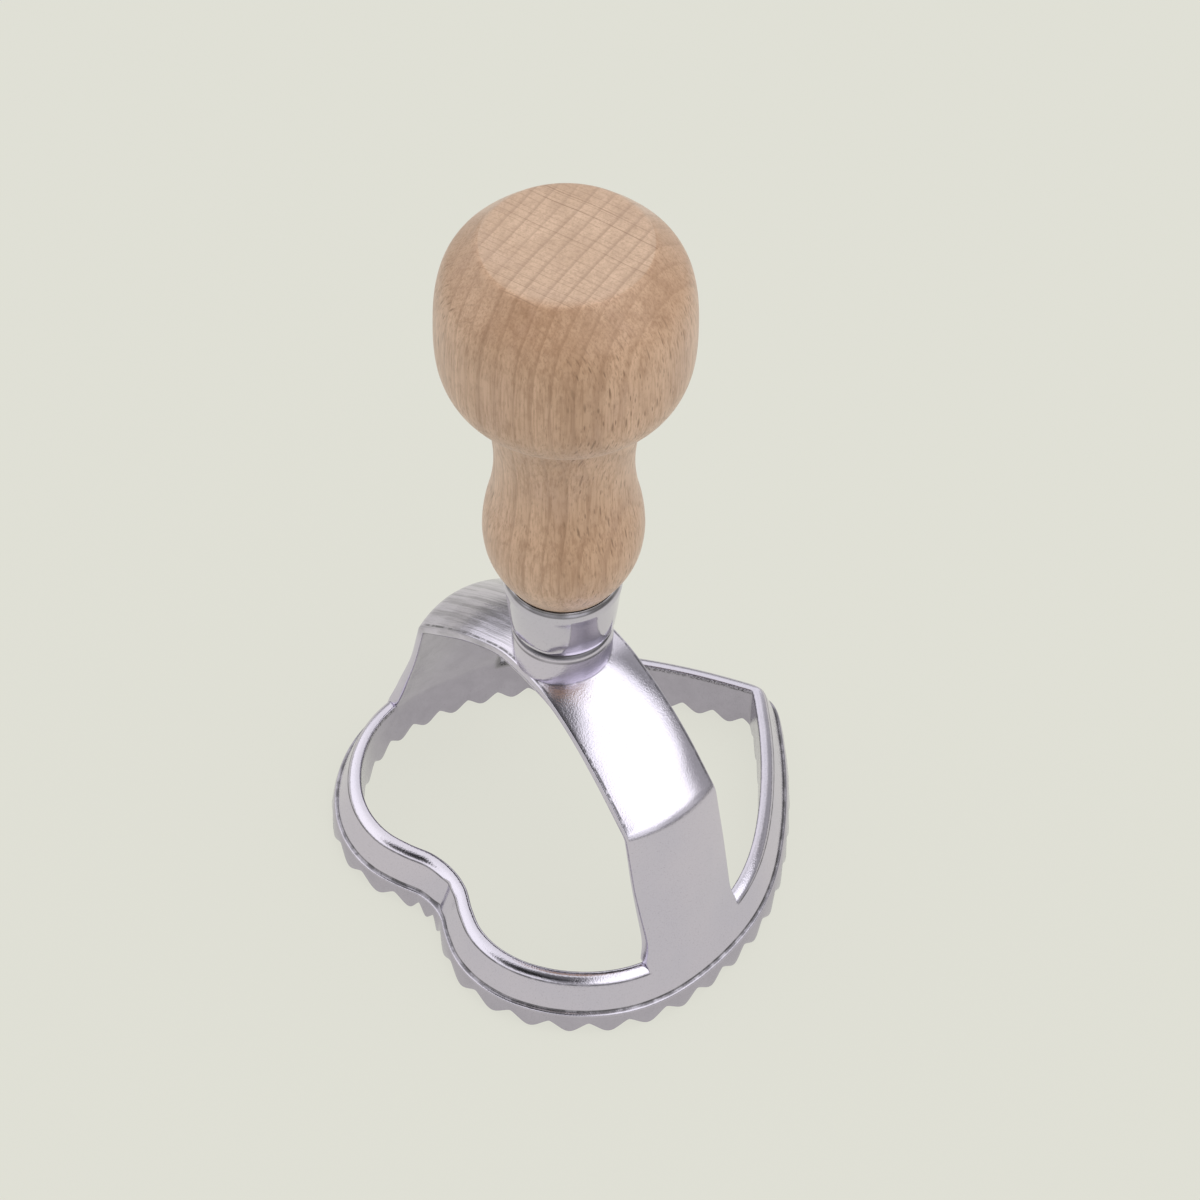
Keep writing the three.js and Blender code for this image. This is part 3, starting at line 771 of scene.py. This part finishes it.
    hairs = n.math("MAXIMUM", n.math("MULTIPLY", hairlines(0.48, 0.13), 0.52), n.math("MULTIPLY", hairlines(1.15, 0.10), 0.30))
    flecks = n.math("MAXIMUM", flecks, n.math("MULTIPLY", hairs, n.span(n.split(face.outputs["Normal"])[2], 0.72, 0.95)))
    worn = n.noise(n.mapping(p, (0.25, 0.8, 0.3)), 1.0, 2.0, 0.5)
    flecks = n.math("MULTIPLY", flecks, n.span(worn, 0.30, 0.60, 0.45, 1.0))
    colour = n.mix(flecks, colour, (0.190, 0.098, 0.050, 1))
    tree.links.new(colour, shader.inputs["Base Color"])

    rough = n.span(fibre, 0.3, 0.75, 0.38, 0.50)
    tree.links.new(rough, shader.inputs["Roughness"])
    shader.inputs["Specular IOR Level"].default_value = 0.5
    shader.inputs["Sheen Weight"].default_value = 0.12
    shader.inputs["Sheen Roughness"].default_value = 0.45
    height = n.math("ADD", n.math("MULTIPLY", fibre, 0.5), n.math("MULTIPLY", n.math("MAXIMUM", pore, flecks), -0.8))
    tree.links.new(n.bump(height, 0.22, 0.00006), shader.inputs["Normal"])
    return mat


def zinc_plate(name):
    """Dull zinc plating: faint crystalline mottling, darker clouds and a fine bump."""
    mat, tree, shader = nodes_of(name)
    n = Net(tree)
    p = n.vmath("SCALE", n.coords(), scale=1000.0)
    cells = n.voronoi(p, 1.6, output="Color")
    cloud = n.noise(p, 0.8, 4.0, 0.6)
    colour = n.mix(n.span(n.split(cells)[0], 0.1, 0.9), (0.46, 0.47, 0.49, 1), (0.58, 0.585, 0.59, 1))
    colour = n.mix(n.math("MULTIPLY", n.span(cloud, 0.5, 0.75), 0.35), colour, (0.34, 0.33, 0.31, 1))
    tree.links.new(colour, shader.inputs["Base Color"])
    tree.links.new(n.span(cloud, 0.3, 0.7, 0.26, 0.42), shader.inputs["Roughness"])
    shader.inputs["Metallic"].default_value = 1.0
    tree.links.new(n.bump(n.noise(p, 6.0, 2.0, 0.5), 0.12, 0.00005), shader.inputs["Normal"])
    return mat


casting = plated_metal("plated_casting", (0.672, 0.630, 0.735, 1), (0.16, 0.155, 0.16, 1), 0.045, 0.09, 0.34, 0.05, cast=True)
sleeve = plated_metal("plated_sleeve", (0.650, 0.615, 0.700, 1), (0.18, 0.175, 0.18, 1), 0.035, 0.07, 0.08, 0.03)
wood = beech("satin_beech")
zinc = zinc_plate("zinc_plate")


def give(obj, mat):
    obj.data.materials.clear()
    obj.data.materials.append(mat)


head = cutter_head()
give(head, casting)
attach(head, "head")
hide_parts("cutter_head")

handle = handle_piece()
give(handle, wood)
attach(handle, "handle_knob")
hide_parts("handle")

ferrule = ferrule_piece()
give(ferrule, sleeve)
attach(ferrule, "ferrule_sleeve")
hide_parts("ferrule")

for node in ("fixing_screw", "washer"):
    give(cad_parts[node], zinc)


# ---------------------------------------------------------------- floor, light and camera

def floor_piece():
    size = 3.0
    mesh = bpy.data.meshes.new("studio_floor")
    mesh.from_pydata([(-size, -size, 0), (size, -size, 0), (size, size, 0), (-size, size, 0)], [], [(0, 1, 2, 3)])
    obj = bpy.data.objects.new("studio_floor", mesh)
    obj.location = (0, 0, -0.0001)
    scene.collection.objects.link(obj)
    mat = bpy.data.materials.new("pale_floor")
    mat.use_nodes = True
    tree = mat.node_tree
    tree.nodes.clear()
    n = Net(tree)
    out = tree.nodes.new("ShaderNodeOutputMaterial")
    diffuse = tree.nodes.new("ShaderNodeBsdfDiffuse")
    diffuse.inputs["Color"].default_value = (0.075, 0.075, 0.068, 1)
    glow = tree.nodes.new("ShaderNodeEmission")
    glow.inputs["Color"].default_value = (0.745, 0.745, 0.672, 1)
    # painted pool of light: the floor's glow falls off in brightness well outside the picture
    away = n.vmath("LENGTH", n.coords())
    tree.links.new(n.span(away, 0.215, 0.50, 0.893, 0.55), glow.inputs["Strength"])
    add = tree.nodes.new("ShaderNodeAddShader")
    tree.links.new(diffuse.outputs[0], add.inputs[0])
    tree.links.new(glow.outputs[0], add.inputs[1])
    clear = tree.nodes.new("ShaderNodeBsdfTransparent")
    pick = tree.nodes.new("ShaderNodeMixShader")
    tree.links.new(tree.nodes.new("ShaderNodeNewGeometry").outputs["Backfacing"], pick.inputs[0])
    tree.links.new(add.outputs[0], pick.inputs[1])
    tree.links.new(clear.outputs[0], pick.inputs[2])
    tree.links.new(pick.outputs[0], out.inputs["Surface"])
    mesh.materials.append(mat)
    return obj


def studio_world():
    """A pale tent with one large soft panel to the right, a darker gap over the lens and a grey band at the horizon."""
    world = bpy.data.worlds.new("studio")
    world.use_nodes = True
    scene.world = world
    tree = world.node_tree
    tree.nodes.clear()
    n = Net(tree)
    out = tree.nodes.new("ShaderNodeOutputWorld")
    back = tree.nodes.new("ShaderNodeBackground")
    tree.links.new(back.outputs[0], out.inputs["Surface"])
    d = n.vmath("NORMALIZE", tree.nodes.new("ShaderNodeTexCoord").outputs["Generated"])
    up = n.split(d)[2]

    def facing(direction, lo, hi):
        v = Vector(direction).normalized()
        return n.span(n.vmath("DOT_PRODUCT", d, tuple(v)), lo, hi)

    def shaded(value, direction, lo, hi, factor):
        return n.math("MULTIPLY", value, n.span(facing(direction, lo, hi), 0.0, 1.0, 1.0, factor, "LINEAR"))

    level = n.span(up, 0.0, 0.15, 0.36, 1.06)
    level = shaded(level, (-0.80, -0.52, 0.28), 0.50, 0.95, 1.30)          # white wall to the left
    level = shaded(level, (0.22, -0.42, 0.88), 0.84, 0.955, 0.15)          # dark gap over the lens
    level = shaded(level, (0.62, -0.53, 0.58), 0.90, 0.97, 0.28)           # and round it
    level = shaded(level, (0.02, -0.71, 0.70), 0.92, 0.975, 0.15)          # its lower end, to the left
    level = shaded(level, (-0.85, 0.52, 0.05), 0.88, 0.97, 0.40)           # unlit far side, low down
    level = shaded(level, (0.20, 0.90, 0.38), 0.80, 0.95, 0.42)            # unlit corner behind
    level = shaded(level, (0.86, 0.42, 0.16), 0.86, 0.97, 0.68)            # stand under the panel
    side = n.vmath("DOT_PRODUCT", d, tuple(Vector((0.705, -0.475, 0.526)).normalized()))
    within = n.math("MULTIPLY", facing((0.61, 0.785, -0.11), -0.14, 0.11), n.span(up, 0.30, 0.46))
    rail = n.math("MULTIPLY", n.span(side, -0.11, -0.05), n.span(side, 0.01, -0.03))
    level = n.math("MULTIPLY", level, n.math("SUBTRACT", 1.0, n.math("MULTIPLY", n.math("MULTIPLY", rail, within), 0.55)))
    panel = n.math("MULTIPLY", within, n.span(side, -0.02, 0.13))
    level = n.math("ADD", n.math("MULTIPLY", level, n.math("SUBTRACT", 1.0, panel)), n.math("MULTIPLY", panel, 1.75))
    level = n.math("MAXIMUM", level, n.span(up, -0.03, -0.06))
    colour = n.mix(n.span(up, -0.02, 0.02), (0.745, 0.745, 0.672, 1), (0.99, 1.0, 0.965, 1))
    tree.links.new(colour, back.inputs["Color"])
    tree.links.new(level, back.inputs["Strength"])


def photo_camera():
    a, e, roll = math.radians(51.28), math.radians(48.11), math.radians(-1.11)
    back = Vector((math.sin(a) * math.cos(e), -math.cos(a) * math.cos(e), math.sin(e)))
    right = Vector((math.cos(a), math.sin(a), 0))
    up = back.cross(right)
    c, s = math.cos(roll), math.sin(roll)
    r2, u2 = c * right - s * up, s * right + c * up
    data = bpy.data.cameras.new("photo_camera")
    data.sensor_fit = "HORIZONTAL"
    data.sensor_width = 36.0
    data.lens = 4856.0 * 36.0 / 1200.0
    data.clip_start, data.clip_end = 0.01, 20.0
    cam = bpy.data.objects.new("photo_camera", data)
    scene.collection.objects.link(cam)
    place = Vector((353.93, -283.69, 554.41)) * MM
    cam.matrix_world = Matrix(((r2.x, u2.x, back.x, place.x), (r2.y, u2.y, back.y, place.y), (r2.z, u2.z, back.z, place.z), (0, 0, 0, 1)))
    scene.camera = cam


floor_piece()
studio_world()
photo_camera()
